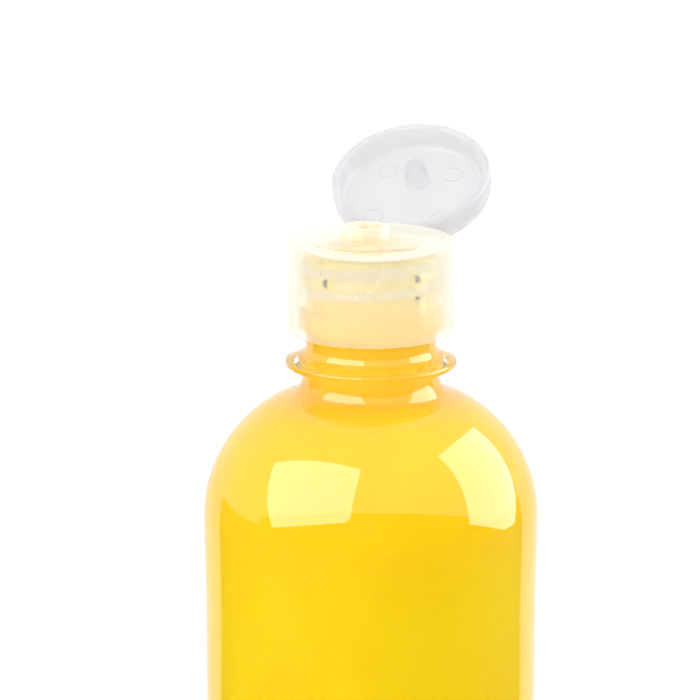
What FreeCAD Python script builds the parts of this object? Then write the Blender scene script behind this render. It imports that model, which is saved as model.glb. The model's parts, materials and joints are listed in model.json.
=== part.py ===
import FreeCAD, Part
import Sketcher
import math
import os
import re

# A clear PET squeeze bottle of poster paint with a screw-on dispensing cap and a hinged lid.
# Frame: millimetres, +Z up along the bottle's axis, origin at the centre of the base.
# The cap's thumb recess faces -Y and its living hinge is at +Y, so the lid swings in the YZ plane.

DRIVING_SIZES = {
    # bottle body
    "body_radius": 32.5,
    "body_wall": 0.8,
    "panel_depth": 0.25,
    "panel_low": 20.0,
    "panel_high": 125.0,
    "panel_step": 12.0,
    "heel_radius": 6.0,
    "foot_radius": 24.0,
    "push_up": 4.0,
    "shoulder_radius": 26.1,
    "shoulder_level": 141.3,
    # neck finish: a 28 mm finish with six threads to the inch
    "deck_level": 196.0,
    "lip_drop": 1.85,
    "lip_round": 0.3,
    "neck_radius": 12.55,
    "lower_neck_radius": 13.25,
    "bore_radius": 10.9,
    "neck_fillet": 3.5,
    "thread_pitch": 4.233,
    "thread_bite": 0.2,
    "neck_crest_radius": 13.7,
    "neck_thread_turns": 1.6,
    "neck_thread_drop": 10.07,
    "neck_thread_angle": -44.7,
    "neck_thread_root": 2.2,
    "neck_thread_crest": 1.0,
    "bead_radius": 14.0,
    "bead_drop": 14.2,
    "bead_width": 2.9,
    "bead_slope": 0.7,
    "ring_radius": 16.5,
    "ring_drop": 23.6,
    "ring_rim": 1.1,
    "ring_slope": 1.4,
    "ring_round": 0.35,
    "slot_width": 2.4,
    "slot_angle": -75.0,
    "slot_spread": 37.0,
    # paint
    "paint_drop": 8.0,
    "paint_film": 0.4,
    # cap
    "skirt_depth": 17.95,
    "cap_top_radius": 15.77,
    "cap_low_radius": 15.95,
    "cap_edge_round": 0.5,
    "cap_bore_radius": 14.3,
    "cap_crest_radius": 12.95,
    "cap_thread_turns": 2.0,
    "cap_thread_drop": 11.5,
    "cap_thread_angle": 15.1,
    "cap_thread_root": 2.0,
    "cap_thread_crest": 0.9,
    "plate_thick": 1.2,
    "plateau_radius": 13.2,
    "plateau_rise": 0.4,
    "plateau_slope": 0.25,
    "dome_rise": 0.8,
    "tooth_count": 24,
    "tooth_rise": 1.1,
    "tooth_radius": 15.2,
    "tooth_phase": 2.3,
    "tooth_share": 0.96,
    "tooth_land": 0.06,
    "thumb_radius": 6.3,
    "thumb_drop": 1.84,
    "thumb_depth": 0.8,
    # spout
    "spout_offset": 3.75,
    "spout_rise": 3.35,
    "spout_radius": 4.4,
    "spout_base_radius": 4.9,
    "spout_foot": 0.5,
    "spout_lip_round": 0.45,
    "orifice_radius": 2.6,
    "mouth_radius": 3.25,
    "mouth_depth": 1.2,
    "mouth_curve": 2.4,
    # sealing washer
    "washer_thick": 0.6,
    "washer_radius": 12.8,
    "washer_bore_radius": 9.0,
    # lid
    "lid_radius": 15.8,
    "lid_rise": 6.3,
    "lid_wall": 1.5,
    "lid_plate": 0.9,
    "lid_gap": 0.1,
    "lid_edge_round": 2.6,
    "lid_inner_round": 1.0,
    "pin_radius": 2.38,
    "pin_tip_radius": 2.1,
    "pin_tip_round": 0.5,
    "pin_reach": 4.9,
    "ejector_radius": 1.95,
    "ejector_ring": 9.5,
    "ejector_depth": 0.12,
    "lid_open_angle": 149.0,
    # living hinge
    "hinge_setback": 16.3,
    "hinge_drop": 0.85,
    "hinge_width": 9.0,
    "hinge_gap": 0.36,
    "ledge_half": 0.42,
    "ledge_root": 1.4,
    "web_radius": 0.25,
    "web_half": 0.15,
    "tab_half": 0.3,
    "tab_cover": 0.9,
}

# Two lengths or volumes closer than this, in mm or mm3, count as the same.
CLOSE = 0.01

doc = FreeCAD.newDocument("paint_bottle")
sheet = doc.addObject("Spreadsheet::Sheet", "sizes")
for row, (alias, value) in enumerate(DRIVING_SIZES.items(), start=1):
    sheet.set(f"A{row}", alias)
    sheet.set(f"B{row}", str(value))
    sheet.setAlias(f"B{row}", alias)
doc.recompute()


def bound(expression):
    """The expression with each driving size named as the sheet's own cell."""

    def cell(word):
        name = word.group()
        return f"sizes.{name}" if name in DRIVING_SIZES else name

    return re.sub(r"[a-z_]+", cell, expression)


def value_of(expression):
    """What an expression of driving sizes comes to."""
    result = sheet.evalExpression(expression)
    return float(getattr(result, "Value", result))


def origin_feature(body, role):
    """The plane or axis of a body's own origin, by its role."""
    return next(feature for feature in body.Origin.OriginFeatures if feature.Role == role)


def new_body(label):
    """A PartDesign body whose label is the sub-part's name."""
    body = doc.addObject("PartDesign::Body", label)
    body.Label = label
    return body


def new_sketch(body, name, plane="XZ_Plane", shift=(0, 0, 0), turn=0.0):
    """A sketch on one of the body's origin planes; turn spins the plane about the bottle's axis."""
    sketch = body.newObject("Sketcher::SketchObject", name)
    sketch.AttachmentSupport = [(origin_feature(body, plane), "")]
    sketch.MapMode = "FlatFace"
    spin_axis = FreeCAD.Vector(0, 0, 1) if plane == "XY_Plane" else FreeCAD.Vector(0, 1, 0)
    spin = FreeCAD.Rotation(spin_axis, turn)
    sketch.AttachmentOffset = FreeCAD.Placement(FreeCAD.Vector(*shift), spin)
    return sketch


def arc_between(start, end, radius, side):
    """The arc of less than half a turn from start to end, with its centre left (+1) or right (-1)."""
    chord = end - start
    reach = math.sqrt(max(radius**2 - (chord.Length / 2) ** 2, 0.0))
    across = FreeCAD.Vector(-chord.y, chord.x, 0).normalize()
    centre = (start + end) * 0.5 + across * (reach * side)
    first, last = (start, end) if side > 0 else (end, start)
    angles = [math.atan2(p.y - centre.y, p.x - centre.x) for p in (first, last)]
    circle = Part.Circle(centre, FreeCAD.Vector(0, 0, 1), radius)
    return Part.ArcOfCircle(circle, angles[0], angles[1])


def draw_outline(sketch, corners):
    """A closed outline. A corner is (across, up), with a radius and a side where an arc follows."""
    places = [FreeCAD.Vector(value_of(c[0]), value_of(c[1]), 0) for c in corners]
    begins, ends, radii = [], [], []
    for index, corner in enumerate(corners):
        start = places[index]
        end = places[(index + 1) % len(places)]
        if len(corner) == 2:
            sketch.addGeometry(Part.LineSegment(start, end), False)
            begins.append(1)
            ends.append(2)
        else:
            radius, side = corner[2:]
            sketch.addGeometry(arc_between(start, end, value_of(radius), side), False)
            begins.append(1 if side > 0 else 2)
            ends.append(2 if side > 0 else 1)
            radii.append((index, radius))
    for index in range(len(corners)):
        follower = (index + 1) % len(corners)
        joined = (index, ends[index], follower, begins[follower])
        sketch.addConstraint(Sketcher.Constraint("Coincident", *joined))
    for index, corner in enumerate(corners):
        vertex = (index, begins[index])
        for expression, kind, axis in ((corner[0], "DistanceX", -2), (corner[1], "DistanceY", -1)):
            if expression == "0":
                sketch.addConstraint(Sketcher.Constraint("PointOnObject", *vertex, axis))
            else:
                datum = value_of(expression)
                number = sketch.addConstraint(Sketcher.Constraint(kind, -1, 1, *vertex, datum))
                sketch.setExpression(f"Constraints[{number}]", bound(expression))
    for index, radius in radii:
        number = sketch.addConstraint(Sketcher.Constraint("Radius", index, value_of(radius)))
        sketch.setExpression(f"Constraints[{number}]", bound(radius))


def draw_circle(sketch, across, up, radius):
    """A circle whose centre and radius are bound to the sheet."""
    centre = FreeCAD.Vector(value_of(across), value_of(up), 0)
    circle = Part.Circle(centre, FreeCAD.Vector(0, 0, 1), value_of(radius))
    index = sketch.addGeometry(circle, False)
    for expression, kind, axis in ((across, "DistanceX", -2), (up, "DistanceY", -1)):
        if expression == "0":
            sketch.addConstraint(Sketcher.Constraint("PointOnObject", index, 3, axis))
        else:
            datum = value_of(expression)
            number = sketch.addConstraint(Sketcher.Constraint(kind, -1, 1, index, 3, datum))
            sketch.setExpression(f"Constraints[{number}]", bound(expression))
    number = sketch.addConstraint(Sketcher.Constraint("Radius", index, value_of(radius)))
    sketch.setExpression(f"Constraints[{number}]", bound(radius))


def revolve(body, sketch, kind="PartDesign::Revolution"):
    """Turn a half outline once about the sketch's upright axis."""
    feature = body.newObject(kind, f"{sketch.Name}_turned")
    feature.Profile = sketch
    feature.ReferenceAxis = (sketch, ["V_Axis"])
    feature.Angle = 360
    doc.recompute()
    return feature


def pad(body, sketch, length, both_ways=True):
    """Push an outline out by a bound length."""
    feature = body.newObject("PartDesign::Pad", f"{sketch.Name}_pad")
    feature.Profile = sketch
    feature.Midplane = both_ways
    feature.setExpression("Length", bound(length))
    doc.recompute()
    return feature


def pocket(body, sketch, length, reverse):
    """Cut an outline into the body, and make sure that it does cut."""
    before = body.Shape.Volume
    feature = body.newObject("PartDesign::Pocket", f"{sketch.Name}_cut")
    feature.Profile = sketch
    feature.Reversed = reverse
    feature.setExpression("Length", bound(length))
    doc.recompute()
    if body.Shape.Volume > before - CLOSE:
        raise RuntimeError(f"{sketch.Name} cuts nothing")
    return feature


def polar_pattern(body, originals, count):
    """Repeat features evenly round the bottle's axis."""
    pattern = body.newObject("PartDesign::PolarPattern", f"{originals[0].Name}_ring")
    pattern.Originals = originals
    pattern.Axis = (origin_feature(body, "Z_Axis"), [""])
    pattern.Angle = 360
    pattern.Occurrences = count
    body.Tip = pattern
    doc.recompute()
    return pattern


def circle_edges(feature, rings):
    """Names of the feature's circular edges with each (radius, level) named in rings."""
    wanted = [(value_of(radius), value_of(level)) for radius, level in rings]
    names = []
    for number, edge in enumerate(feature.Shape.Edges, start=1):
        if edge.Degenerated or not isinstance(edge.Curve, Part.Circle):
            continue
        curve = edge.Curve
        for radius, level in wanted:
            if abs(curve.Radius - radius) < CLOSE and abs(curve.Center.z - level) < CLOSE:
                names.append(f"Edge{number}")
    if len(names) < len(rings):
        raise RuntimeError(f"{feature.Name}: {len(names)} edges for {len(rings)} rings")
    return names


def fillet(body, feature, radius, rings):
    """Round the feature's circular edges."""
    rounded = body.newObject("PartDesign::Fillet", f"{feature.Name}_{radius}")
    rounded.Base = (feature, circle_edges(feature, rings))
    rounded.setExpression("Radius", bound(radius))
    doc.recompute()
    return rounded


def thread(body, name, start_angle, start_drop, root, crest, root_width, crest_width, turns):
    """A right-hand trapezoid thread, from its lower end; root and crest are radii."""
    sketch = new_sketch(body, name, turn=value_of(start_angle))
    level = f"deck_level - {start_drop}"
    draw_outline(sketch, [
        (root, f"{level} - {root_width} / 2"),
        (crest, f"{level} - {crest_width} / 2"),
        (crest, f"{level} + {crest_width} / 2"),
        (root, f"{level} + {root_width} / 2"),
    ])
    doc.recompute()
    helix = body.newObject("PartDesign::AdditiveHelix", f"{name}_helix")
    helix.Profile = sketch
    helix.ReferenceAxis = (sketch, ["V_Axis"])
    helix.Mode = "pitch-turns-angle"
    helix.setExpression("Pitch", bound("thread_pitch"))
    helix.setExpression("Turns", bound(turns))
    doc.recompute()
    return helix


LIP = "deck_level - lip_drop"
SHOULDER_CENTRE = "(body_radius - shoulder_radius)"
SHOULDER_TOP = f"shoulder_level + sqrt(shoulder_radius ^ 2 - (lower_neck_radius - {SHOULDER_CENTRE}) ^ 2)"
INNER_SHOULDER = "(shoulder_radius - body_wall)"
BORE_FOOT = f"shoulder_level + sqrt({INNER_SHOULDER} ^ 2 - (bore_radius - {SHOULDER_CENTRE}) ^ 2)"
PUSH_UP_RADIUS = "(foot_radius ^ 2 + push_up ^ 2) / (2 * push_up)"


def make_bottle():
    """The blown shell: body, shoulder, neck finish with support ring, bead, thread and vent slots."""
    body = new_body("bottle")
    sketch = new_sketch(body, "bottle_wall")
    bead_top = "deck_level - bead_drop"
    bead_foot = "deck_level - bead_drop - bead_width"
    ring_top = "deck_level - ring_drop"
    ring_foot = "deck_level - ring_drop - ring_rim"
    draw_outline(sketch, [
        ("0", "push_up", PUSH_UP_RADIUS, -1),
        ("foot_radius", "0"),
        ("body_radius - heel_radius", "0", "heel_radius", 1),
        ("body_radius", "heel_radius"),
        ("body_radius", "panel_low - panel_step"),
        ("body_radius - panel_depth", "panel_low"),
        ("body_radius - panel_depth", "panel_high"),
        ("body_radius", "panel_high + panel_step"),
        ("body_radius", "shoulder_level", "shoulder_radius", 1),
        ("lower_neck_radius", SHOULDER_TOP),
        ("lower_neck_radius", ring_foot),
        ("ring_radius", ring_foot),
        ("ring_radius", ring_top),
        ("neck_radius", f"{ring_top} + ring_slope"),
        ("neck_radius", f"{bead_foot} - bead_slope"),
        ("bead_radius", bead_foot),
        ("bead_radius", bead_top),
        ("neck_radius", f"{bead_top} + bead_slope"),
        ("neck_radius", LIP),
        ("bore_radius", LIP),
        ("bore_radius", BORE_FOOT, INNER_SHOULDER, -1),
        ("body_radius - body_wall", "shoulder_level"),
        ("body_radius - body_wall", "heel_radius", "heel_radius - body_wall", -1),
        ("body_radius - heel_radius", "body_wall"),
        ("foot_radius", "body_wall", PUSH_UP_RADIUS, 1),
        ("0", "push_up + body_wall"),
    ])
    wall = revolve(body, sketch)
    soft = fillet(body, wall, "neck_fillet", [("lower_neck_radius", SHOULDER_TOP)])
    rim = [("ring_radius", ring_foot), ("ring_radius", ring_top)]
    soft = fillet(body, soft, "ring_round", rim)
    fillet(body, soft, "lip_round", [("neck_radius", LIP), ("bore_radius", LIP)])
    thread(body, "neck_thread", "neck_thread_angle", "neck_thread_drop",
           "neck_radius - thread_bite", "neck_crest_radius",
           "neck_thread_root", "neck_thread_crest", "neck_thread_turns")
    slots = []
    for side in (-1, 1):
        turn = value_of("slot_angle") + side * value_of("slot_spread")
        slot = new_sketch(body, f"vent_slot_{side + 2}", "XY_Plane", turn=turn)
        slot.setExpression("AttachmentOffset.Base.z", bound(f"{bead_top} + bead_slope"))
        draw_outline(slot, [
            ("neck_radius", "-slot_width / 2"),
            ("bead_radius + thread_bite", "-slot_width / 2"),
            ("bead_radius + thread_bite", "slot_width / 2"),
            ("neck_radius", "slot_width / 2"),
        ])
        slots.append(pocket(body, slot, "bead_drop - bead_slope", True))
    polar_pattern(body, slots, 2)
    return body


def make_paint():
    """The paint: full to the shoulder, with a film up the bore round the free level in the neck."""
    body = new_body("paint")
    sketch = new_sketch(body, "paint_fill")
    draw_outline(sketch, [
        ("0", "push_up + body_wall", PUSH_UP_RADIUS, -1),
        ("foot_radius", "body_wall"),
        ("body_radius - heel_radius", "body_wall", "heel_radius - body_wall", 1),
        ("body_radius - body_wall", "heel_radius"),
        ("body_radius - body_wall", "shoulder_level", INNER_SHOULDER, 1),
        ("bore_radius", BORE_FOOT),
        ("bore_radius", f"{LIP} - lip_round"),
        ("bore_radius - paint_film", f"{LIP} - lip_round"),
        ("bore_radius - paint_film", "deck_level - paint_drop"),
        ("0", "deck_level - paint_drop"),
    ])
    revolve(body, sketch)
    return body


def make_washer():
    """The sealing washer between the bottle's lip and the cap's plate."""
    disc = doc.addObject("Part::Cylinder", "washer_disc")
    disc.setExpression("Radius", bound("washer_radius"))
    hole = doc.addObject("Part::Cylinder", "washer_hole")
    hole.setExpression("Radius", bound("washer_bore_radius"))
    for piece in (disc, hole):
        piece.setExpression("Height", bound("washer_thick"))
        piece.setExpression("Placement.Base.z", bound(LIP))
    washer = doc.addObject("Part::Cut", "cap_washer")
    washer.Base = disc
    washer.Tool = hole
    return washer


def make_cap_moulding():
    """The cap's skirt, plate, spout, inner thread, stripping teeth and hinge ledge."""
    body = new_body("cap_moulding")
    foot = "deck_level - skirt_depth"
    plateau = "deck_level + plateau_rise"
    crown = "(dome_rise - plateau_rise)"
    skirt = new_sketch(body, "cap_skirt")
    draw_outline(skirt, [
        ("0", "deck_level - plate_thick"),
        ("cap_bore_radius", "deck_level - plate_thick"),
        ("cap_bore_radius", foot),
        ("cap_low_radius", foot),
        ("cap_top_radius", "deck_level"),
        ("plateau_radius + plateau_slope", "deck_level"),
        ("plateau_radius", plateau, f"(plateau_radius ^ 2 + {crown} ^ 2) / (2 * {crown})", 1),
        ("0", "deck_level + dome_rise"),
    ])
    turned = revolve(body, skirt)
    fillet(body, turned, "cap_edge_round", [("cap_top_radius", "deck_level")])

    tooth = new_sketch(body, "tooth", turn=value_of("tooth_phase"))
    half_tooth = "(pi * tooth_radius / tooth_count * tooth_share)"
    draw_outline(tooth, [
        (f"-{half_tooth}", foot),
        (half_tooth, f"{foot} + tooth_land"),
        (half_tooth, f"{foot} + tooth_rise"),
    ])
    cut = pocket(body, tooth, "tooth_radius", True)
    polar_pattern(body, [cut], int(value_of("tooth_count")))

    thread(body, "cap_thread", "cap_thread_angle", "cap_thread_drop",
           "cap_bore_radius + thread_bite", "cap_crest_radius",
           "cap_thread_root", "cap_thread_crest", "cap_thread_turns")

    spout = new_sketch(body, "spout", shift=(0, 0, value_of("spout_offset")))
    draw_outline(spout, [
        ("0", "deck_level"),
        ("spout_base_radius", "deck_level"),
        ("spout_base_radius", "deck_level + spout_foot"),
        ("spout_radius", "deck_level + spout_rise"),
        ("0", "deck_level + spout_rise"),
    ])
    turned = revolve(body, spout)
    fillet(body, turned, "spout_lip_round", [("spout_radius", "deck_level + spout_rise")])

    mouth = new_sketch(body, "spout_bore", shift=(0, 0, value_of("spout_offset")))
    draw_outline(mouth, [
        ("0", "deck_level - plate_thick - thread_bite"),
        ("orifice_radius", "deck_level - plate_thick - thread_bite"),
        ("orifice_radius", "deck_level + spout_rise - mouth_depth", "mouth_curve", -1),
        ("mouth_radius", "deck_level + spout_rise"),
        ("mouth_radius", "deck_level + spout_rise + thread_bite"),
        ("0", "deck_level + spout_rise + thread_bite"),
    ])
    revolve(body, mouth, "PartDesign::Groove")

    ledge = new_sketch(body, "hinge_ledge", "YZ_Plane")
    hinge_level = "deck_level - hinge_drop"
    draw_outline(ledge, [
        ("hinge_setback - ledge_root", f"{hinge_level} - ledge_half"),
        ("hinge_setback - hinge_gap", f"{hinge_level} - ledge_half"),
        ("hinge_setback - hinge_gap", f"{hinge_level} + ledge_half"),
        ("hinge_setback - ledge_root", f"{hinge_level} + ledge_half"),
    ])
    pad(body, ledge, "hinge_width")
    return body


def make_cap(moulding):
    """The cap: its moulding with the thumb recess dished out of the front of the skirt."""
    scoop = doc.addObject("Part::Cylinder", "thumb_scoop")
    scoop.setExpression("Radius", bound("thumb_radius"))
    scoop.setExpression("Height", bound("cap_low_radius + plate_thick"))
    scoop.Placement = FreeCAD.Placement(
        FreeCAD.Vector(0, 0, value_of("deck_level - thumb_drop")),
        FreeCAD.Rotation(FreeCAD.Vector(1, 0, 0), 90),
    )
    core = doc.addObject("Part::Cylinder", "thumb_floor")
    core.setExpression("Radius", bound("cap_top_radius - thumb_depth"))
    core.setExpression("Height", bound("skirt_depth + thumb_radius"))
    core.setExpression("Placement.Base.z", bound("deck_level - skirt_depth"))
    shell = doc.addObject("Part::Cut", "thumb_shell")
    shell.Base = scoop
    shell.Tool = core
    cap = doc.addObject("Part::Cut", "spout_cap")
    cap.Base = moulding
    cap.Tool = shell
    return cap


def make_lid():
    """The hinged lid with its sealing pin, built closed on the cap and then swung open."""
    body = new_body("flip_lid")
    rim = "deck_level + lid_gap"
    top = "deck_level + lid_rise"
    inside = "deck_level + lid_rise - lid_plate"
    shell = new_sketch(body, "lid_shell")
    draw_outline(shell, [
        ("0", inside),
        ("lid_radius - lid_wall", inside),
        ("lid_radius - lid_wall", rim),
        ("lid_radius", rim),
        ("lid_radius", top),
        ("0", top),
    ])
    turned = revolve(body, shell)
    soft = fillet(body, turned, "lid_edge_round", [("lid_radius", top)])
    fillet(body, soft, "lid_inner_round", [("lid_radius - lid_wall", inside)])

    marks = new_sketch(body, "ejector_marks", "XY_Plane")
    marks.setExpression("AttachmentOffset.Base.z", bound(inside))
    reach = "ejector_ring * sqrt(0.5)"
    for across in (reach, f"-{reach}"):
        for along in (reach, f"-{reach}"):
            draw_circle(marks, across, along, "ejector_radius")
    pocket(body, marks, "ejector_depth", True)

    pin = new_sketch(body, "sealing_pin", shift=(0, 0, value_of("spout_offset")))
    draw_outline(pin, [
        ("0", f"{inside} - pin_reach"),
        ("pin_tip_radius", f"{inside} - pin_reach"),
        ("pin_radius", inside),
        ("pin_radius", f"{inside} + lid_plate / 2"),
        ("0", f"{inside} + lid_plate / 2"),
    ])
    turned = revolve(body, pin)
    fillet(body, turned, "pin_tip_round", [("pin_tip_radius", f"{inside} - pin_reach")])

    tab = new_sketch(body, "hinge_tab", "YZ_Plane")
    hinge_level = "deck_level - hinge_drop"
    draw_outline(tab, [
        ("hinge_setback - tab_half", f"{hinge_level} + tab_half"),
        ("hinge_setback + tab_half", f"{hinge_level} + tab_half"),
        ("hinge_setback + tab_half", f"{rim} + tab_cover"),
        ("hinge_setback - ledge_root", f"{rim} + tab_cover"),
        ("hinge_setback - ledge_root", rim),
        ("hinge_setback - tab_half", rim),
    ])
    pad(body, tab, "hinge_width")

    hinge = FreeCAD.Vector(0, value_of("hinge_setback"), value_of(hinge_level))
    swing = FreeCAD.Rotation(FreeCAD.Vector(1, 0, 0), -value_of("lid_open_angle"))
    body.Placement = FreeCAD.Placement(FreeCAD.Vector(), swing, hinge)
    return body


def make_living_hinge():
    """The thin web that joins the lid to the cap, round about the hinge's axis."""
    body = new_body("living_hinge")
    web = new_sketch(body, "web", "YZ_Plane")
    neck = "hinge_setback - sqrt(web_radius ^ 2 - web_half ^ 2)"
    low = "deck_level - hinge_drop - web_half"
    high = "deck_level - hinge_drop + web_half"
    tip = ("hinge_setback + web_radius", "deck_level - hinge_drop", "web_radius", 1)
    draw_outline(web, [
        ("hinge_setback - hinge_gap", low),
        (neck, low, "web_radius", 1),
        tip,
        (neck, high),
        ("hinge_setback - hinge_gap", high),
    ])
    pad(body, web, "hinge_width")
    return body


cap_moulding = make_cap_moulding()
sub_parts = [
    make_bottle(),
    make_paint(),
    make_washer(),
    make_cap(cap_moulding),
    make_lid(),
    make_living_hinge(),
]
doc.recompute()

for item in doc.Objects:
    if "Invalid" in item.State or "Error" in item.State:
        raise RuntimeError(f"{item.Label} failed: {item.State}")
for sub_part in sub_parts:
    shape = sub_part.Shape
    if shape.isNull() or not shape.isValid() or len(shape.Solids) != 1:
        raise RuntimeError(f"{sub_part.Label} is not one valid solid")

os.makedirs("parts", exist_ok=True)
for sub_part in sub_parts:
    sub_part.Shape.exportStep(os.path.join("parts", f"{sub_part.Label}.step"))
    box = sub_part.Shape.BoundBox
    print(f"{sub_part.Label}: {sub_part.Shape.Volume:.1f} mm3, top {box.ZMax:.2f}")
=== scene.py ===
import json
import math

import bmesh
import bpy
from mathutils import Matrix, Vector


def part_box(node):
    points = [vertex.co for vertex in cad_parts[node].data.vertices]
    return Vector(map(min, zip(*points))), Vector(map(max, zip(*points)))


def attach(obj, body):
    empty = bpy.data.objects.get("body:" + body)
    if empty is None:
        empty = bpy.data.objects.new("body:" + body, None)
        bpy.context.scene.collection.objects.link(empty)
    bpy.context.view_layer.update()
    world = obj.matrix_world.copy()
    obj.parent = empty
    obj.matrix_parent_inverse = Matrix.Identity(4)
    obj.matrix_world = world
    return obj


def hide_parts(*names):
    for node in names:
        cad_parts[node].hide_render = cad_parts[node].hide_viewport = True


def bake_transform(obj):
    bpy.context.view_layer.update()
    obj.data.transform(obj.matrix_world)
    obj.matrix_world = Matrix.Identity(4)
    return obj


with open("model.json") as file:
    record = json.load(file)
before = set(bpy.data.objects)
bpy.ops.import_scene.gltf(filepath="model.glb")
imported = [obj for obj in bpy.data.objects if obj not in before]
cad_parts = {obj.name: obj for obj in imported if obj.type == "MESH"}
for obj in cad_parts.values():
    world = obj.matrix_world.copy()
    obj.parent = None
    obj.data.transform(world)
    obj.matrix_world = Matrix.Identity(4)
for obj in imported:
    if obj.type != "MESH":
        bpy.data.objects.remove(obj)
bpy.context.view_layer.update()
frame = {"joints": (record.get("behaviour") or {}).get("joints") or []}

# A clear PET squeeze bottle of yellow poster paint, with a milky flip-top cap that stands open.
# Lengths are in metres; MM turns millimetres into them. A profile is a list of (radius, height).

MM = 0.001
JOINTS = {joint["name"]: joint for joint in frame["joints"]}

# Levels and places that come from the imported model.
DECK = JOINTS["cap_turn"]["pos_m"][2]
HINGE = Vector(JOINTS["lid_hinge"]["pos_m"])
OPEN_ANGLE = math.radians(-JOINTS["lid_hinge"]["range_deg"][0])
PITCH = JOINTS["cap_lift"]["range_m"][1] * 360 / JOINTS["cap_turn"]["range_deg"][1]
BODY_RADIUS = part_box("bottle")[1].x
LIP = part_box("bottle")[1].z
CAP_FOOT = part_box("spout_cap")[0].z
SPOUT_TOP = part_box("spout_cap")[1].z
WASHER_LOW, WASHER_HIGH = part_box("cap_washer")

# The blown bottle.
WALL = 0.8 * MM
PANEL_DEPTH = 0.25 * MM
PANEL_LOW = 20 * MM
PANEL_HIGH = 125 * MM
PANEL_STEP = 12 * MM
FOOT_RADIUS = 24 * MM
HEEL_RADIUS = 6 * MM
PUSH_UP = 4 * MM
SHOULDER_RADIUS = 26.1 * MM
SHOULDER_LEVEL = 141.3 * MM
SHOULDER_CENTRE = BODY_RADIUS - SHOULDER_RADIUS
NECK_RADIUS = 12.55 * MM
LOWER_NECK_RADIUS = 13.25 * MM
BORE_RADIUS = 10.9 * MM
RING_RADIUS = 16.5 * MM
RING_TOP = DECK - 23.6 * MM
RING_FOOT = RING_TOP - 1.1 * MM
RING_SLOPE = 1.4 * MM
BEAD_RADIUS = 14.0 * MM
BEAD_TOP = DECK - 14.2 * MM
BEAD_FOOT = BEAD_TOP - 2.9 * MM
BEAD_SLOPE = 0.7 * MM
PARTING_ANGLE = math.radians(-75)
SLOT_SPREAD = math.radians(37)
SLOT_HALF = math.radians(5.2)

# The threads: radii, the lower end's height and angle, and the number of turns.
NECK_THREAD = {
    "root": NECK_RADIUS - 0.15 * MM, "crest": 13.7 * MM, "low": DECK - 10.07 * MM,
    "start": math.radians(-44.7), "turns": 1.6, "root_width": 2.2 * MM, "crest_width": 1.0 * MM,
}
CAP_THREAD = {
    "root": 14.45 * MM, "crest": 12.95 * MM, "low": DECK - 11.5 * MM,
    "start": math.radians(15.1), "turns": 2.0, "root_width": 2.0 * MM, "crest_width": 0.9 * MM,
}
THREAD_FADE = math.radians(14)

# The paint.
PAINT_LEVEL = DECK - 8 * MM
PAINT_FILM = 0.4 * MM
PAINT_CLING = 0.06 * MM

# The cap.
CAP_TOP_RADIUS = 15.77 * MM
CAP_LOW_RADIUS = 15.95 * MM
CAP_BORE = 14.3 * MM
PLATE = 1.2 * MM
PLATEAU_RADIUS = 13.2 * MM
PLATEAU_RISE = 0.4 * MM
DOME_RISE = 0.8 * MM
TOOTH_COUNT = 24
TOOTH_RISE = 1.1 * MM
TOOTH_RADIUS = 15.2 * MM
THUMB_RADIUS = 6.3 * MM
THUMB_LEVEL = DECK - 1.84 * MM
THUMB_DEPTH = 0.8 * MM

# The spout, which stands forward of the cap's middle.
SPOUT_PLACE = Vector((0, -3.75 * MM, 0))
SPOUT_RADIUS = 4.4 * MM
SPOUT_BASE = 4.9 * MM
SPOUT_FOOT = 6.1 * MM
ORIFICE = 2.6 * MM
MOUTH = 3.25 * MM

# The lid, as it is when shut.
LID_RADIUS = 15.8 * MM
LID_TOP = DECK + 6.3 * MM
LID_INSIDE = LID_TOP - 0.9 * MM
LID_RIM = DECK + 0.1 * MM
LID_BORE = 14.3 * MM
PIN_RADIUS = 2.38 * MM
PIN_TIP = 2.1 * MM
PIN_REACH = 4.9 * MM
EJECTOR_RADIUS = 1.95 * MM
EJECTOR_RING = 9.5 * MM

# The living hinge.
HINGE_WIDTH = 9 * MM
FILM_HALF = 0.15 * MM
LEDGE_REACH = 0.3 * MM

# The studio: the floor's painted dark sector, seen only in reflections, reaches back by this slope on each
# side of the front.
SECTOR_SLOPE = 0.67
ROOM_FILL = 1.1

# How finely round shapes are cut.
TURN_STEPS = 24 * 12
SECTORS = 12
THREAD_STEPS_PER_RADIAN = 36
FEWEST_THREAD_STEPS = 6


# ---------------------------------------------------------------- profiles


def arc(centre, radius, start, end, count):
    """Points on an arc about centre, from one angle to another, in degrees."""
    angles = [math.radians(start + (end - start) * i / count) for i in range(count + 1)]
    return [(centre[0] + radius * math.cos(a), centre[1] + radius * math.sin(a)) for a in angles]


def eased(corners, count=6):
    """An open profile whose corners are rounded: each is (radius, height) or (radius, height, ease)."""
    points = [Vector((c[0], c[1])) for c in corners]
    result = [tuple(points[0])]
    for before, here, after, corner in zip(points, points[1:], points[2:], corners[1:-1]):
        ease = corner[2] if len(corner) > 2 else 0
        way_in = (before - here).normalized()
        way_out = (after - here).normalized()
        half = way_in.angle(way_out) / 2
        if not ease or half > math.radians(89):
            result.append(tuple(here))
            continue
        reach = ease / math.tan(half)
        centre = here + (way_in + way_out).normalized() * (ease / math.sin(half))
        first = here + way_in * reach - centre
        turn = (here + way_out * reach - centre).angle_signed(first)
        for i in range(count + 1):
            spoke = Matrix.Rotation(turn * i / count, 2) @ first
            result.append(tuple(centre + spoke))
    result.append(tuple(points[-1]))
    return result


def stepped(start, end, pitch):
    """Evenly spaced points from start to end, both left out."""
    start, end = Vector(start), Vector(end)
    count = max(1, round((end - start).length / pitch))
    return [tuple(start.lerp(end, i / count)) for i in range(1, count)]


# ---------------------------------------------------------------- making and finishing meshes


def gather(mesh, part):
    """Add a finished part to a larger mesh."""
    data = bpy.data.meshes.new("part")
    part.to_mesh(data)
    part.free()
    mesh.from_mesh(data)
    bpy.data.meshes.remove(data)


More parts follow.
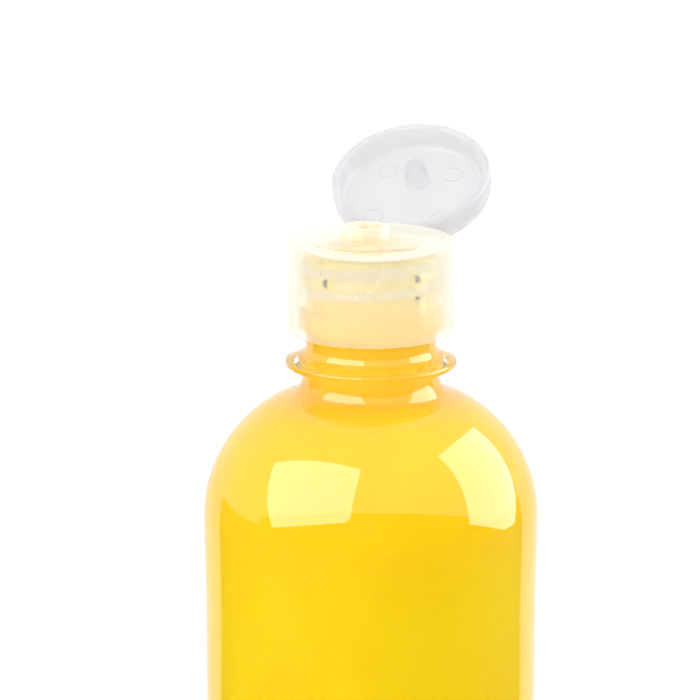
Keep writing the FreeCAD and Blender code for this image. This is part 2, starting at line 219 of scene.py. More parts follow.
def rim_ring(mesh, place, radius, height):
    """The open edges that lie on one circle."""

    def lies_on_it(vert):
        spoke = math.hypot(vert.co.x - place.x, vert.co.y - place.y)
        return abs(vert.co.z - height) < 1e-6 and abs(spoke - radius) < 1e-6

    return [e for e in mesh.edges if e.is_boundary and all(lies_on_it(v) for v in e.verts)]


def turn_profile(mesh, profile, place=Vector(), steps=TURN_STEPS):
    """Turn an open profile once round the upright line through place; gives its two end rings."""
    sector_angle = 2 * math.pi / SECTORS
    sector = bmesh.new()
    verts = [sector.verts.new((r, 0, z)) for r, z in profile]
    edges = [sector.edges.new(pair) for pair in zip(verts, verts[1:])]
    bmesh.ops.spin(
        sector, geom=verts + edges, cent=(0, 0, 0), axis=(0, 0, 1), angle=sector_angle,
        steps=steps // SECTORS, use_merge=False, use_duplicate=False,
    )
    data = bpy.data.meshes.new("sector")
    sector.to_mesh(data)
    sector.free()
    whole = bmesh.new()
    for _ in range(SECTORS):
        whole.from_mesh(data)
        data.transform(Matrix.Rotation(sector_angle, 4, "Z"))
    bpy.data.meshes.remove(data)
    bmesh.ops.remove_doubles(whole, verts=whole.verts, dist=1e-7)
    bmesh.ops.translate(whole, verts=whole.verts, vec=place)
    gather(mesh, whole)
    return [rim_ring(mesh, place, *end) for end in (profile[0], profile[-1])]


def spin_section(section, start, sweep, rise, steps):
    """Sweep a closed section of (radius, height) about the axis, rising as it goes; ends are capped."""
    part = bmesh.new()
    verts = [part.verts.new((r, 0, z)) for r, z in section]
    face = part.faces.new(verts)
    bmesh.ops.rotate(part, verts=verts, cent=(0, 0, 0), matrix=Matrix.Rotation(start, 3, "Z"))
    bmesh.ops.spin(
        part, geom=[face] + list(face.edges) + verts, cent=(0, 0, 0), axis=(0, 0, 1),
        dvec=(0, 0, rise / steps), angle=sweep, steps=steps, use_merge=False, use_duplicate=False,
    )
    return part


def smoothstep(value):
    """0 below 0, 1 above 1, and an easy change between."""
    value = min(max(value, 0.0), 1.0)
    return value * value * (3 - 2 * value)


def finish_piece(name, mesh, body, material, replaces=(), sharp=35):
    """Make the object: normals out, smooth but for its sharp edges, riding on its body."""
    bmesh.ops.recalc_face_normals(mesh, faces=mesh.faces)
    for face in mesh.faces:
        face.smooth = True
    for edge in mesh.edges:
        edge.smooth = edge.is_manifold and edge.calc_face_angle(0) < math.radians(sharp)
    data = bpy.data.meshes.new(name)
    mesh.to_mesh(data)
    mesh.free()
    piece = bpy.data.objects.new(name, data)
    bpy.context.scene.collection.objects.link(piece)
    data.materials.append(material)
    if body:
        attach(piece, body)
    if replaces:
        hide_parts(*replaces)
    return piece


# ---------------------------------------------------------------- shader arithmetic


class Wire:
    """A shader socket that takes Python's arithmetic; each sign adds a Math node."""

    def __init__(self, look, socket):
        self.look = look
        self.socket = socket

    def maths(self, operation, *values):
        return self.look.add("Math", {"operation": operation}, dict(enumerate(values)))

    def __add__(self, other):
        return self.maths("ADD", self, other)

    def __sub__(self, other):
        return self.maths("SUBTRACT", self, other)

    def __rsub__(self, other):
        return self.maths("SUBTRACT", other, self)

    def __mul__(self, other):
        return self.maths("MULTIPLY", self, other)

    def __pow__(self, other):
        return self.maths("POWER", self, other)

    def __abs__(self):
        return self.maths("ABSOLUTE", self)

    __radd__ = __add__
    __rmul__ = __mul__

    def clamped(self):
        """The value kept between 0 and 1."""
        return self.look.add("Clamp", {}, {"Value": self})

    def between(self, low, high):
        """0 at low, 1 at high, easing between."""
        settings = {"interpolation_type": "SMOOTHSTEP"}
        return self.look.add("MapRange", settings, {"Value": self, "From Min": low, "From Max": high})


class Look:
    """One material, built node by node."""

    def __init__(self, name):
        self.material = bpy.data.materials.new(name)
        self.material.use_nodes = True
        self.tree = self.material.node_tree
        self.tree.nodes.clear()

    def add(self, kind, settings=None, sockets=None, output=0):
        """A node of this kind: its settings first, then its sockets; gives one of its outputs."""
        node = self.tree.nodes.new("ShaderNode" + kind)
        for name, value in (settings or {}).items():
            setattr(node, name, value)
        for name, value in (sockets or {}).items():
            if isinstance(value, Wire):
                self.tree.links.new(value.socket, node.inputs[name])
            else:
                node.inputs[name].default_value = value
        return Wire(self, node.outputs[output])

    def place(self):
        """Where a point is on the piece, in metres."""
        return self.add("TexCoord", output="Object")

    def split(self, vector):
        """A vector's three parts."""
        node = self.add("SeparateXYZ", {}, {"Vector": vector}).socket.node
        return [Wire(self, socket) for socket in node.outputs]

    def noise(self, scale, detail):
        """Soft random mottling, about 0.5, this many to the metre."""
        return self.add("TexNoise", {}, {"Vector": self.place(), "Scale": scale, "Detail": detail})

    def blend_colours(self, share, first, second):
        """A mix of two colours."""
        node = self.tree.nodes.new("ShaderNodeMix")
        node.data_type = "RGBA"
        for index, value in ((0, share), (6, first), (7, second)):
            if isinstance(value, Wire):
                self.tree.links.new(value.socket, node.inputs[index])
            else:
                node.inputs[index].default_value = value
        return Wire(self, node.outputs[2])

    def bump(self, height, distance, strength=1.0):
        """A normal from a height map."""
        return self.add("Bump", {}, {"Height": height, "Distance": distance, "Strength": strength})

    def shade(self, **sockets):
        """A Principled shader."""
        named = {name.replace("_", " "): value for name, value in sockets.items()}
        return self.add("BsdfPrincipled", {}, named)

    def mix(self, share, first, second):
        """A mix of two shaders; share is the second one's."""
        return self.add("MixShader", {}, {0: share, 1: first, 2: second})

    def done(self, surface):
        """Use this shader as the material's surface, and give the material."""
        node = self.tree.nodes.new("ShaderNodeOutputMaterial")
        self.tree.links.new(surface.socket, node.inputs["Surface"])
        return self.material


def clear_pet_look():
    """Blown PET: clear and glossy, faintly wavy, with the mould's parting line down two sides."""
    look = Look("clear_pet")
    x, y, _ = look.split(look.place())
    off_line = abs(x * math.sin(PARTING_ANGLE) - y * math.cos(PARTING_ANGLE))
    seam = 1 - off_line.between(0.05 * MM, 0.3 * MM)
    waves = look.noise(28, 1.0)
    wavy = look.bump(waves, 0.6 * MM, 0.25)
    normal = look.add("Bump", {}, {"Height": seam, "Distance": 0.006 * MM, "Normal": wavy})
    scuffs = look.noise(900, 3.0)
    glass = look.shade(
        Base_Color=(0.985, 0.99, 0.985, 1), Roughness=0.015 + scuffs * 0.03, IOR=1.57,
        Transmission_Weight=1.0, Normal=normal,
    )
    open_to_lamps = look.add("BsdfTransparent", {}, {"Color": (0.97, 0.97, 0.96, 1)})
    shadow = look.add("LightPath", output="Is Shadow Ray")
    return look.done(look.mix(shadow, glass, open_to_lamps))


def yellow_paint_look():
    """Thick poster paint, warmer in the neck and pale where only a film is left under the cap; that film
    also has a faint painted glow, standing in for the light that comes through the cap.

    It wets the wall, so it has almost no gloss of its own.
    """
    look = Look("yellow_paint")
    clouds = look.noise(45, 3.0).between(0.3, 0.7)
    z = look.split(look.place())[2]
    colour = look.blend_colours(clouds, (0.93, 0.68, 0.003, 1), (0.94, 0.71, 0.006, 1))
    in_shoulder = z.between(SHOULDER_LEVEL - 10 * MM, SHOULDER_LEVEL + 8 * MM)
    colour = look.blend_colours(in_shoulder, colour, (0.95, 0.645, 0.008, 1))
    in_neck = z.between(DECK - 34 * MM, DECK - 30 * MM)
    colour = look.blend_colours(in_neck, colour, (0.95, 0.59, 0.035, 1))
    as_film = z.between(CAP_FOOT - 2 * MM, PAINT_LEVEL + 1 * MM)
    colour = look.blend_colours(as_film, colour, (0.98, 0.82, 0.3, 1))
    # Painted light: the film under the cap glows faintly, in place of the light that comes through the milky
    # cap.
    painted_glow_under_cap = look.blend_colours(as_film, (0, 0, 0, 1), (0.98, 0.82, 0.35, 1))
    streaks = look.noise(260, 2.0)
    return look.done(look.shade(
        Base_Color=colour, Roughness=0.4 + streaks * 0.12, Specular_IOR_Level=0.03,
        Normal=look.bump(streaks, 0.15 * MM, 0.3), Emission_Color=painted_glow_under_cap, Emission_Strength=0.14,
    ))


def milky_look(name, see_through, tint, stain_and_shade=0.0, thread_veil=0.0):
    """Natural polypropylene: milky and see-through, satin outside, with a faint painted glow; stained by
    paint in the spout's bore, with painted orange shade round the spout's foot.
    """
    look = Look(name)
    x, y, z = look.split(look.place())
    from_spout = (x * x + (y - SPOUT_PLACE.y) ** 2) ** 0.5
    inside_bore = 1 - from_spout.between(2.4 * MM, 3.6 * MM)
    near_deck = 1 - z.between(DECK + 0.8 * MM, DECK + 2.2 * MM)
    # Painted shade: an orange shade round the spout's foot, near the deck.
    painted_shade_round_foot = (1 - from_spout.between(4.6 * MM, 8 * MM)) * near_deck
    stain_and_painted_shade = (inside_bore + painted_shade_round_foot * 0.6).clamped() * stain_and_shade
    flow = look.noise(60, 1.0)
    duller = tuple(0.98 * c for c in tint[:3]) + (1,)
    colour = look.blend_colours(flow, tint, duller)
    # The orange is paint stain in the spout's bore and painted shade round the spout's foot.
    colour = look.blend_colours(stain_and_painted_shade, colour, (0.95, 0.56, 0.16, 1))
    skin = look.noise(2600, 2.0)
    # Painted light: the milk glows faintly in its own colour, in place of light scattered through the
    # plastic.
    milk = look.shade(
        Base_Color=colour, Roughness=0.22 + flow * 0.06, IOR=1.49, Normal=look.bump(skin, 0.02 * MM, 0.5),
        Subsurface_Weight=0.8, Subsurface_Radius=(1.0, 0.95, 0.85), Subsurface_Scale=2.5 * MM,
        Emission_Color=colour, Emission_Strength=0.08,
    )
    clear = look.add("BsdfTransparent", {}, {"Color": (1, 1, 1, 1)})
    edge_on = look.add("LayerWeight", {}, {"Blend": 0.5}, "Facing")
    from_axis = (x * x + y * y) ** 0.5
    in_thread = (1 - from_axis.between(CAP_BORE - 0.3 * MM, CAP_BORE - 0.1 * MM)) * (1 - z.between(
        DECK - PLATE - 0.5 * MM, DECK - PLATE - 0.3 * MM))
    at_spout = (1 - from_spout.between(5.5 * MM, 6.5 * MM)) * z.between(DECK - PLATE, DECK)
    veil = (1 - see_through) + (in_thread + at_spout) * thread_veil
    solid = veil + edge_on ** 3 * (1 - veil)
    shadow = look.add("LightPath", output="Is Shadow Ray")
    return look.done(look.mix((solid * (1 - shadow * 0.8)).clamped(), clear, milk))


def washer_look():
    """Foamed polyethylene washer."""
    look = Look("washer_foam")
    cells = look.noise(4000, 2.0)
    colour = look.blend_colours(cells, (0.85, 0.83, 0.76, 1), (0.93, 0.92, 0.88, 1))
    return look.done(look.shade(Base_Color=colour, Roughness=0.7, Normal=look.bump(cells, 0.05 * MM, 0.6)))


# ---------------------------------------------------------------- the bottle and its paint


def shoulder(radius, count, end_radius, short=4):
    """The shoulder's arc, from the body inwards, stopping some degrees short of the neck."""
    last = math.degrees(math.acos((end_radius - SHOULDER_CENTRE) / radius)) - short
    return arc((SHOULDER_CENTRE, SHOULDER_LEVEL), radius, 0, last, count)


def shoulder_height(radius, at_radius):
    """How high the shoulder's arc is at a radius from the bottle's axis."""
    return SHOULDER_LEVEL + math.sqrt(radius**2 - (at_radius - SHOULDER_CENTRE) ** 2)


def push_up(lift, count=10):
    """The domed base, from its middle out to the foot ring."""
    steps = [FOOT_RADIUS * i / count for i in range(count)]
    return [(r, lift + PUSH_UP * (1 - (r / FOOT_RADIUS) ** 2)) for r in steps]


def inner_profile(grow, top):
    """The bottle's inner wall from the middle of the base to the lip, moved outwards by grow."""
    wall = WALL - grow
    inner_shoulder = shoulder(SHOULDER_RADIUS - wall, 40, BORE_RADIUS + grow)
    bore_foot = shoulder_height(SHOULDER_RADIUS - wall, BORE_RADIUS + grow)
    heel = arc((BODY_RADIUS - HEEL_RADIUS, HEEL_RADIUS), HEEL_RADIUS - wall, -90, 0, 12)
    rise = stepped((BODY_RADIUS - wall, HEEL_RADIUS), (BODY_RADIUS - wall, SHOULDER_LEVEL), 9 * MM)
    outline = push_up(wall) + [(FOOT_RADIUS, wall)] + heel + rise + inner_shoulder
    neck = eased([inner_shoulder[-1], (BORE_RADIUS + grow, bore_foot, 1.2 * MM), (BORE_RADIUS + grow, top)])
    return outline + neck[1:]


def make_bottle(material):
    """The shell, then the neck's thread, broken by four vent slots."""
    outer_shoulder = shoulder(SHOULDER_RADIUS, 48, LOWER_NECK_RADIUS, 9)
    neck_foot = shoulder_height(SHOULDER_RADIUS, LOWER_NECK_RADIUS)
    panel = BODY_RADIUS - PANEL_DEPTH
    base = eased([
        (FOOT_RADIUS - 1 * MM, 0.3 * MM), (FOOT_RADIUS, 0, 1 * MM), (BODY_RADIUS, 0, HEEL_RADIUS - 0.5 * MM),
        (BODY_RADIUS, PANEL_LOW - PANEL_STEP, 4 * MM), (panel, PANEL_LOW, 4 * MM), (panel, 30 * MM),
    ], 10)
    side = stepped((panel, 30 * MM), (panel, PANEL_HIGH - 2 * MM), 8 * MM)
    panel_top = eased([
        (panel, PANEL_HIGH - 2 * MM), (panel, PANEL_HIGH, 4 * MM),
        (BODY_RADIUS, PANEL_HIGH + PANEL_STEP, 4 * MM), (BODY_RADIUS, SHOULDER_LEVEL - 1 * MM),
    ])
    neck = eased([
        outer_shoulder[-1],
        (LOWER_NECK_RADIUS, neck_foot, 3.5 * MM),
        (LOWER_NECK_RADIUS, RING_FOOT, 0.35 * MM),
        (RING_RADIUS, RING_FOOT, 0.45 * MM),
        (RING_RADIUS, RING_TOP, 0.45 * MM),
        (NECK_RADIUS + 0.5 * MM, RING_TOP + RING_SLOPE, 1.0 * MM),
        (NECK_RADIUS, RING_TOP + RING_SLOPE + 1.2 * MM, 1.0 * MM),
        (NECK_RADIUS, BEAD_FOOT - BEAD_SLOPE, 0.3 * MM),
        (BEAD_RADIUS, BEAD_FOOT, 0.35 * MM),
        (BEAD_RADIUS, BEAD_TOP, 0.35 * MM),
        (NECK_RADIUS, BEAD_TOP + BEAD_SLOPE, 0.3 * MM),
        (NECK_RADIUS, LIP, 0.35 * MM),
        (BORE_RADIUS, LIP, 0.35 * MM),
        (BORE_RADIUS, LIP - 2 * MM),
    ], 8)
    outer = push_up(0)[:-1] + base + side + panel_top + outer_shoulder + neck[1:]
    inner = inner_profile(0, LIP - 2 * MM)
    mesh = bmesh.new()
    turn_profile(mesh, outer + inner[::-1][1:])

    slots = [
        PARTING_ANGLE + half_turn * math.pi + side * SLOT_SPREAD
        for half_turn in (0, 1) for side in (-1, 1)
    ]
    make_thread(mesh, NECK_THREAD, slots)
    return finish_piece("bottle_shell", mesh, "bottle_body", material, ("bottle",))


def make_thread(mesh, thread, slots=()):
    """A right-hand thread with ends that fade into the wall, left open at the vent slots."""
    half_root, half_crest = thread["root_width"] / 2, thread["crest_width"] / 2
    section = eased([
        (thread["root"], -half_root),
        (thread["crest"], -half_crest, 0.25 * MM),
        (thread["crest"], half_crest, 0.25 * MM),
        (thread["root"], half_root),
    ], 3)
    start, end = thread["start"], thread["start"] + thread["turns"] * 2 * math.pi
    gaps = sorted(slot + turn * 2 * math.pi for slot in slots for turn in range(-2, 4))
    cuts = [start] + [g + side for g in gaps if start < g < end for side in (-SLOT_HALF, SLOT_HALF)] + [end]
    for first, last in zip(cuts[::2], cuts[1::2]):
        low = thread["low"] + PITCH * (first - start) / (2 * math.pi)
        lifted = [(r, z + low) for r, z in section]
        sweep = last - first
        rise = PITCH * sweep / (2 * math.pi)
        steps = max(FEWEST_THREAD_STEPS, round(sweep * THREAD_STEPS_PER_RADIAN))
        part = spin_section(lifted, first, sweep, rise, steps)
        for vert in part.verts:
            height = vert.co.z - thread["low"]
            angle = start + 2 * math.pi * height / PITCH
            near_end = min(angle - start, end - angle)
            keep = smoothstep(near_end / THREAD_FADE + 0.1)
            radius = math.hypot(vert.co.x, vert.co.y)
            wanted = thread["root"] + (radius - thread["root"]) * keep
            vert.co.x *= wanted / radius
            vert.co.y *= wanted / radius
        gather(mesh, part)


def make_paint(material):
    """The paint, filling the bottle, with a film up the bore round its free level."""
    film_top = LIP - 0.5 * MM
    outline = inner_profile(PAINT_CLING, film_top)
    inside = BORE_RADIUS - PAINT_FILM
    surface = eased([
        outline[-1],
        (inside + 0.1 * MM, film_top, 0.1 * MM),
        (inside, PAINT_LEVEL, 1.2 * MM),
        (0, PAINT_LEVEL),
    ])
    mesh = bmesh.new()
    turn_profile(mesh, outline + surface[1:])
    return finish_piece("paint_fill", mesh, "bottle_body", material, ("paint",))


def make_washer(material):
    """The sealing washer under the cap's plate."""
    outer = WASHER_HIGH.x
    inner = 9 * MM
    low, high = WASHER_LOW.z, WASHER_HIGH.z
    middle = (inner + outer) / 2
    ring = eased([
        (middle, low), (outer, low, 0.1 * MM), (outer, high, 0.1 * MM),
        (inner, high, 0.1 * MM), (inner, low, 0.1 * MM), (middle, low),
    ], 3)
    mesh = bmesh.new()
    turn_profile(mesh, ring)
    bmesh.ops.remove_doubles(mesh, verts=mesh.verts, dist=1e-7)
    return finish_piece("sealing_washer", mesh, "lift_body", material, ("cap_washer",))


# ---------------------------------------------------------------- the cap


def dome_height(radius):
    """The height of the cap's slightly domed plateau."""
    return DECK + DOME_RISE - (DOME_RISE - PLATEAU_RISE) * (radius / PLATEAU_RADIUS) ** 2


def cut_teeth(mesh):
    """Raise the inner part of the skirt's foot into saw teeth."""
    for vert in mesh.verts:
        radius = math.hypot(vert.co.x, vert.co.y)
        if radius < TOOTH_RADIUS - 0.01 * MM and abs(vert.co.z - CAP_FOOT) < 0.01 * MM:
            share = (math.atan2(vert.co.y, vert.co.x) / (2 * math.pi) * TOOTH_COUNT) % 1
            vert.co.z += TOOTH_RISE * (share if share < 0.999 else 0)


def dish_thumb_recess(mesh):
    """Press the half-round thumb recess into the front of the skirt."""
    soft = 0.45 * MM
    for vert in mesh.verts:
        radius = math.hypot(vert.co.x, vert.co.y)
        if vert.co.y > 0 or radius < CAP_TOP_RADIUS - 0.7 * MM:
            continue
        from_centre = math.hypot(vert.co.x, vert.co.z - THUMB_LEVEL)
        depth = THUMB_DEPTH * smoothstep((THUMB_RADIUS - from_centre) / soft + 0.5)
        vert.co.x *= 1 - depth / radius
        vert.co.y *= 1 - depth / radius


def make_cap(material):
    """Skirt, plate, plateau and spout in one skin, then the inner thread and the hinge ledge."""
    mesh = bmesh.new()
    top = eased([
        (PLATEAU_RADIUS, dome_height(PLATEAU_RADIUS)),
        (PLATEAU_RADIUS + 0.25 * MM, DECK, 0.15 * MM),
        (CAP_TOP_RADIUS, DECK, 0.5 * MM),
        (CAP_TOP_RADIUS, DECK - 1 * MM),
    ], 5)
    wall_end = (CAP_LOW_RADIUS, CAP_FOOT + 0.5 * MM)
    wall = stepped(top[-1], wall_end, 0.3 * MM) + [wall_end]
    under = eased([
        wall_end,
        (CAP_LOW_RADIUS, CAP_FOOT, 0.3 * MM),
        (TOOTH_RADIUS, CAP_FOOT),
        (TOOTH_RADIUS - 0.04 * MM, CAP_FOOT),
        (CAP_BORE, CAP_FOOT),
        (CAP_BORE, CAP_FOOT + 2 * MM),
        (CAP_BORE, DECK - PLATE, 0.4 * MM),
        (CAP_BORE - 1.4 * MM, DECK - PLATE),
    ], 5)
    skirt_rings = turn_profile(mesh, top + wall + under[1:])
    spout = eased([
        (SPOUT_FOOT, dome_height(SPOUT_FOOT)),
        (SPOUT_BASE, dome_height(SPOUT_BASE), 0.9 * MM),
        (SPOUT_RADIUS, SPOUT_TOP, 0.5 * MM),
        (MOUTH, SPOUT_TOP, 0.25 * MM),
        (ORIFICE, SPOUT_TOP - 1.2 * MM, 1.2 * MM),
        (ORIFICE, DECK - PLATE, 0.1 * MM),
        (ORIFICE + 0.4 * MM, DECK - PLATE),
    ], 6)
    spout_rings = turn_profile(mesh, spout, SPOUT_PLACE)
    for edge in spout_rings[0]:
        for vert in edge.verts:
            vert.co.z = dome_height(math.hypot(vert.co.x, vert.co.y))
    crown = bmesh.ops.bridge_loops(mesh, edges=skirt_rings[0] + spout_rings[0])
    bmesh.ops.bridge_loops(mesh, edges=skirt_rings[1] + spout_rings[1])
    rims = set(skirt_rings[0] + spout_rings[0])
    spokes = [edge for edge in crown["edges"] if edge not in rims]
    split = bmesh.ops.subdivide_edges(mesh, edges=spokes, cuts=6, use_grid_fill=True)
    for vert in {g for g in split["geom_inner"] if isinstance(g, bmesh.types.BMVert)}:
        vert.co.z = dome_height(math.hypot(vert.co.x, vert.co.y))
    cut_teeth(mesh)
    dish_thumb_recess(mesh)
    make_thread(mesh, CAP_THREAD)
    ledge_end = HINGE.y - LEDGE_REACH
    add_block(mesh, (ledge_end - 1.1 * MM, HINGE.z - 0.42 * MM), (ledge_end, HINGE.z + 0.42 * MM))
    return finish_piece("cap_moulding", mesh, "cap_body", material, ("spout_cap",))


def add_block(mesh, low, high):
    """A block as wide as the hinge, between two (y, z) corners, with eased edges."""
    middle = Vector((0, (low[0] + high[0]) / 2, (low[1] + high[1]) / 2))
    reach = Vector((HINGE_WIDTH, high[0] - low[0], high[1] - low[1]))
    placed = Matrix.Translation(middle) @ Matrix.Diagonal((*reach, 1))
    made = bmesh.ops.create_cube(mesh, size=1, matrix=placed)
    edges = {edge for vert in made["verts"] for edge in vert.link_edges}
    bmesh.ops.bevel(
        mesh, geom=list(edges), offset=0.12 * MM, affect="EDGES", segments=3, profile=0.5, material=-1,
    )


# ---------------------------------------------------------------- the lid and its living hinge


def make_lid(material):
    """The lid with its sealing pin and ejector marks, made shut and then swung open."""
    mesh = bmesh.new()
    shell = eased([
        (0, LID_TOP),
        (LID_RADIUS, LID_TOP, 2.6 * MM),
        (LID_RADIUS, LID_RIM, 0.3 * MM),
        (LID_BORE, LID_RIM, 0.25 * MM),
        (LID_BORE, LID_INSIDE, 1.0 * MM),
        (LID_BORE - 1.6 * MM, LID_INSIDE),
    ], 8)
    shell_rings = turn_profile(mesh, shell)
    pin = eased([
        (PIN_RADIUS + 0.7 * MM, LID_INSIDE),
        (PIN_RADIUS, LID_INSIDE, 0.35 * MM),
        (PIN_TIP, LID_INSIDE - PIN_REACH, 0.5 * MM),
        (0, LID_INSIDE - PIN_REACH),
    ], 6)
    pin_rings = turn_profile(mesh, pin, SPOUT_PLACE)
    bmesh.ops.bridge_loops(mesh, edges=shell_rings[1] + pin_rings[0])
    for quarter in range(4):
        angle = math.radians(45 + 90 * quarter)
        centre = Vector((math.cos(angle), math.sin(angle), 0)) * EJECTOR_RING
        flash = eased([
            (EJECTOR_RADIUS - 0.1 * MM, LID_INSIDE + 0.05 * MM),
            (EJECTOR_RADIUS - 0.1 * MM, LID_INSIDE - 0.07 * MM, 0.05 * MM),
            (EJECTOR_RADIUS + 0.1 * MM, LID_INSIDE - 0.07 * MM, 0.05 * MM),
            (EJECTOR_RADIUS + 0.1 * MM, LID_INSIDE + 0.05 * MM),
            (EJECTOR_RADIUS - 0.1 * MM, LID_INSIDE + 0.05 * MM),
        ], 3)
        turn_profile(mesh, flash, centre, steps=48)
    bmesh.ops.remove_doubles(mesh, verts=mesh.verts, dist=1e-7)
    add_block(mesh, (HINGE.y - 1.4 * MM, LID_RIM), (HINGE.y + 0.3 * MM, LID_RIM + 0.9 * MM))
    add_block(mesh, (HINGE.y - 0.3 * MM, HINGE.z + 0.3 * MM), (HINGE.y + 0.3 * MM, LID_RIM + 0.5 * MM))
    swing = Matrix.Rotation(-OPEN_ANGLE, 3, "X")
    bmesh.ops.rotate(mesh, verts=mesh.verts, cent=HINGE, matrix=swing)
    return finish_piece("hinged_lid", mesh, "lid_body", material, ("flip_lid",))


def make_living_hinge(material):
    """The thin film that bends between the cap's ledge and the lid's tab."""
    towards_lid = Matrix.Rotation(-OPEN_ANGLE, 2) @ Vector((0, 1))
    towards_cap = Vector((-1, 0))
    reach = 0.5 * MM
    centre = Vector((HINGE.y, HINGE.z))
    line = []
    count = 12
    for i in range(count + 1):
        share = i / count
        curve = towards_cap * (reach * (1 - share) ** 2) + towards_lid * (reach * share**2)
        line.append(centre + curve)
    sides = {1: [], -1: []}
    for i, point in enumerate(line):
        along = (line[min(i + 1, count)] - line[max(i - 1, 0)]).normalized()
        across = Vector((-along.y, along.x)) * FILM_HALF
        for side in sides:
            sides[side].append(point + across * side)
    outline = sides[1] + sides[-1][::-1]
    mesh = bmesh.new()
    verts = [mesh.verts.new((-HINGE_WIDTH / 2, p.x, p.y)) for p in outline]
    face = mesh.faces.new(verts)
    made = bmesh.ops.extrude_face_region(mesh, geom=[face])
    moved = [g for g in made["geom"] if isinstance(g, bmesh.types.BMVert)]
    bmesh.ops.translate(mesh, verts=moved, vec=(HINGE_WIDTH, 0, 0))
    piece = finish_piece("hinge_film", mesh, None, material, ("living_hinge",))
    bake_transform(piece)
    return piece


# ---------------------------------------------------------------- studio


def stand_on_stage(name, mesh, material):
    """Make a piece of the studio, which is no part of the bottle."""
    data = bpy.data.meshes.new(name)
    mesh.to_mesh(data)
    mesh.free()
    data.materials.append(material)
    prop = bpy.data.objects.new(name, data)
    bpy.context.scene.collection.objects.link(prop)
    return prop


def pale_floor(front):
    """A wide plain floor that reads as white; in what mirrors it, it is painted near black in front of the
    bottle, a painted dark reflection.
    """
    look = Look("pale_floor")
    x, y, _ = look.split(look.place())
    sideways = abs(x * math.cos(front) + y * math.sin(front))
    ahead = x * math.sin(front) - y * math.cos(front) + sideways * SECTOR_SLOPE
    # Painted reflection: glossy rays see the floor near black in a sector in front of the bottle.
    painted_dark_reflection = look.add("LightPath", output="Is Glossy Ray") * ahead.between(-0.02, 0.02)
    mottle = look.noise(3, 2.0)
    pale = look.blend_colours(mottle, (0.9, 0.9, 0.9, 1), (0.92, 0.92, 0.92, 1))
    colour = look.blend_colours(painted_dark_reflection, pale, (0.03, 0.03, 0.03, 1))
    through_glass = look.add("LightPath", output="Is Transmission Ray")
    looked_at = look.add("LightPath", output="Is Camera Ray") + through_glass
    glow = look.add("Emission", {}, {"Color": (1, 1, 1, 1), "Strength": 1.05})
    surface = look.shade(Base_Color=colour, Roughness=0.8)
    material = look.done(look.mix(looked_at.clamped(), surface, glow))
    mesh = bmesh.new()
    bmesh.ops.create_grid(mesh, x_segments=8, y_segments=8, size=12)
    stand_on_stage("floor", mesh, material)


def direction(azimuth, elevation):
    """A unit vector out from the bottle; azimuth 0 is in front, and it grows towards +X."""
    level = math.cos(elevation)
    return Vector((math.sin(azimuth) * level, -math.cos(azimuth) * level, math.sin(elevation)))


def soft_box(name, aim, azimuth, elevation, distance, width, height, roll, power):
    """A rectangular lamp that faces aim from one side."""
    out = direction(azimuth, elevation)
    data = bpy.data.lights.new(name, "AREA")
    data.shape = "RECTANGLE"
    data.size = width
    data.size_y = height
    data.energy = power
    lamp = bpy.data.objects.new(name, data)
    lamp.location = aim + out * distance
    facing = out.to_track_quat("Z", "Y").to_matrix()
    lamp.rotation_euler = (facing @ Matrix.Rotation(roll, 3, "Z")).to_euler()
    bpy.context.scene.collection.objects.link(lamp)
    return lamp


def dark_front(azimuth):
    """A dark card behind the camera, seen only in what mirrors it: a painted dark reflection of the studio's
    dark side.
    """
    look = Look("dark_front")
    shade = look.blend_colours(look.noise(3, 2.0), (0.02, 0.02, 0.02, 1), (0.03, 0.03, 0.03, 1))
    mesh = bmesh.new()
    bmesh.ops.create_grid(mesh, x_segments=4, y_segments=1, size=1)
    upright = Matrix.Rotation(math.pi / 2, 4, "X") @ Matrix.Diagonal((6, 1, 1, 1))
    away = Matrix.Rotation(azimuth, 4, "Z") @ Matrix.Translation((0, -0.9, -0.46))
    bmesh.ops.transform(mesh, matrix=away @ upright, verts=mesh.verts)
    card = stand_on_stage("dark_front", mesh, look.done(look.shade(Base_Color=shade, Roughness=0.9)))
    # Hidden from all but glossy rays, the card only paints a dark reflection.
    for kind in ("camera", "diffuse", "transmission", "volume_scatter", "shadow"):
        setattr(card, f"visible_{kind}", False)


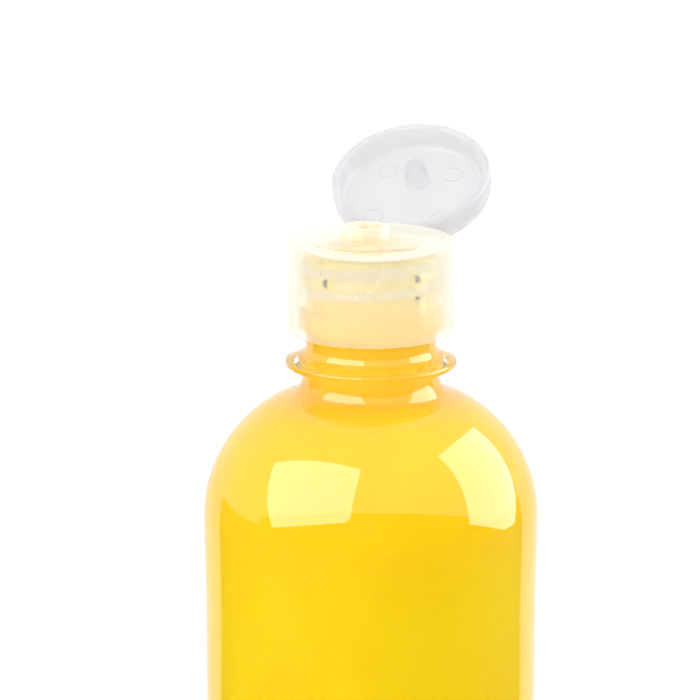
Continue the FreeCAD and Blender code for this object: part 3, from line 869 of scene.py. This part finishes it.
def white_room(fill):
    """A white surround that fills the shadows less brightly than it looks."""
    world = bpy.data.worlds.new("white_room")
    world.use_nodes = True
    tree = world.node_tree
    rays = tree.nodes.new("ShaderNodeLightPath")
    seen = tree.nodes.new("ShaderNodeMath")
    tree.links.new(rays.outputs["Is Camera Ray"], seen.inputs[0])
    tree.links.new(rays.outputs["Is Transmission Ray"], seen.inputs[1])
    level = tree.nodes.new("ShaderNodeMapRange")
    level.inputs["To Min"].default_value = fill
    level.inputs["To Max"].default_value = 1.0
    back = tree.nodes["Background"]
    back.inputs["Color"].default_value = (1, 1, 1, 1)
    tree.links.new(seen.outputs["Value"], level.inputs["Value"])
    tree.links.new(level.outputs["Result"], back.inputs["Strength"])
    bpy.context.scene.world = world


def set_camera():
    """A long lens, a little above the cap and to its right, on the upper half of the bottle."""
    azimuth = math.radians(14.65)
    elevation = math.radians(11.7)
    distance = 700 * MM
    back = direction(azimuth, elevation)
    right = Vector((math.cos(azimuth), math.sin(azimuth), 0))
    up = back.cross(right)
    aim = Vector((0, 0, DECK)) - right * 4.02 * MM - up * 21.35 * MM
    data = bpy.data.cameras.new("camera")
    data.sensor_width = 36
    data.lens = 188
    data.clip_start = 0.01
    data.clip_end = 60
    camera = bpy.data.objects.new("camera", data)
    camera.location = Vector((0, 0, DECK)) + back * distance
    camera.rotation_euler = (aim - camera.location).to_track_quat("-Z", "Y").to_euler()
    bpy.context.scene.collection.objects.link(camera)
    bpy.context.scene.camera = camera
    return azimuth


def main():
    clear_pet = clear_pet_look()
    # 0.6 weighs the paint stain in the spout's bore and the painted orange shade round the spout's foot.
    cap_milk = milky_look("cap_milk", 0.82, (0.96, 0.90, 0.76, 1), 0.6, 0.3)
    lid_milk = milky_look("lid_milk", 0.6, (0.66, 0.66, 0.69, 1))
    make_bottle(clear_pet)
    make_paint(yellow_paint_look())
    make_washer(washer_look())
    make_cap(cap_milk)
    make_lid(lid_milk)
    make_living_hinge(lid_milk)
    front = set_camera()
    pale_floor(front)
    aim = Vector((0, 0, SHOULDER_LEVEL))
    left = soft_box(
        "left_box", aim, front - math.radians(50.4), math.radians(33.4), 0.8,
        0.94, 0.75, math.radians(19), 9.5,
    )
    right = soft_box(
        "right_box", aim, front + math.radians(100.6), math.radians(21), 0.8,
        0.74, 0.84, math.radians(-23), 8.5,
    )
    for box in (left, right):
        box.visible_diffuse = False
    key = soft_box("key_box", aim, front - math.radians(10), math.radians(12), 1.2, 1.2, 1.2, 0, 2.6)
    key.visible_glossy = False
    dark_front(front)
    white_room(ROOM_FILL)
    bpy.context.scene.view_settings.view_transform = "Standard"


main()
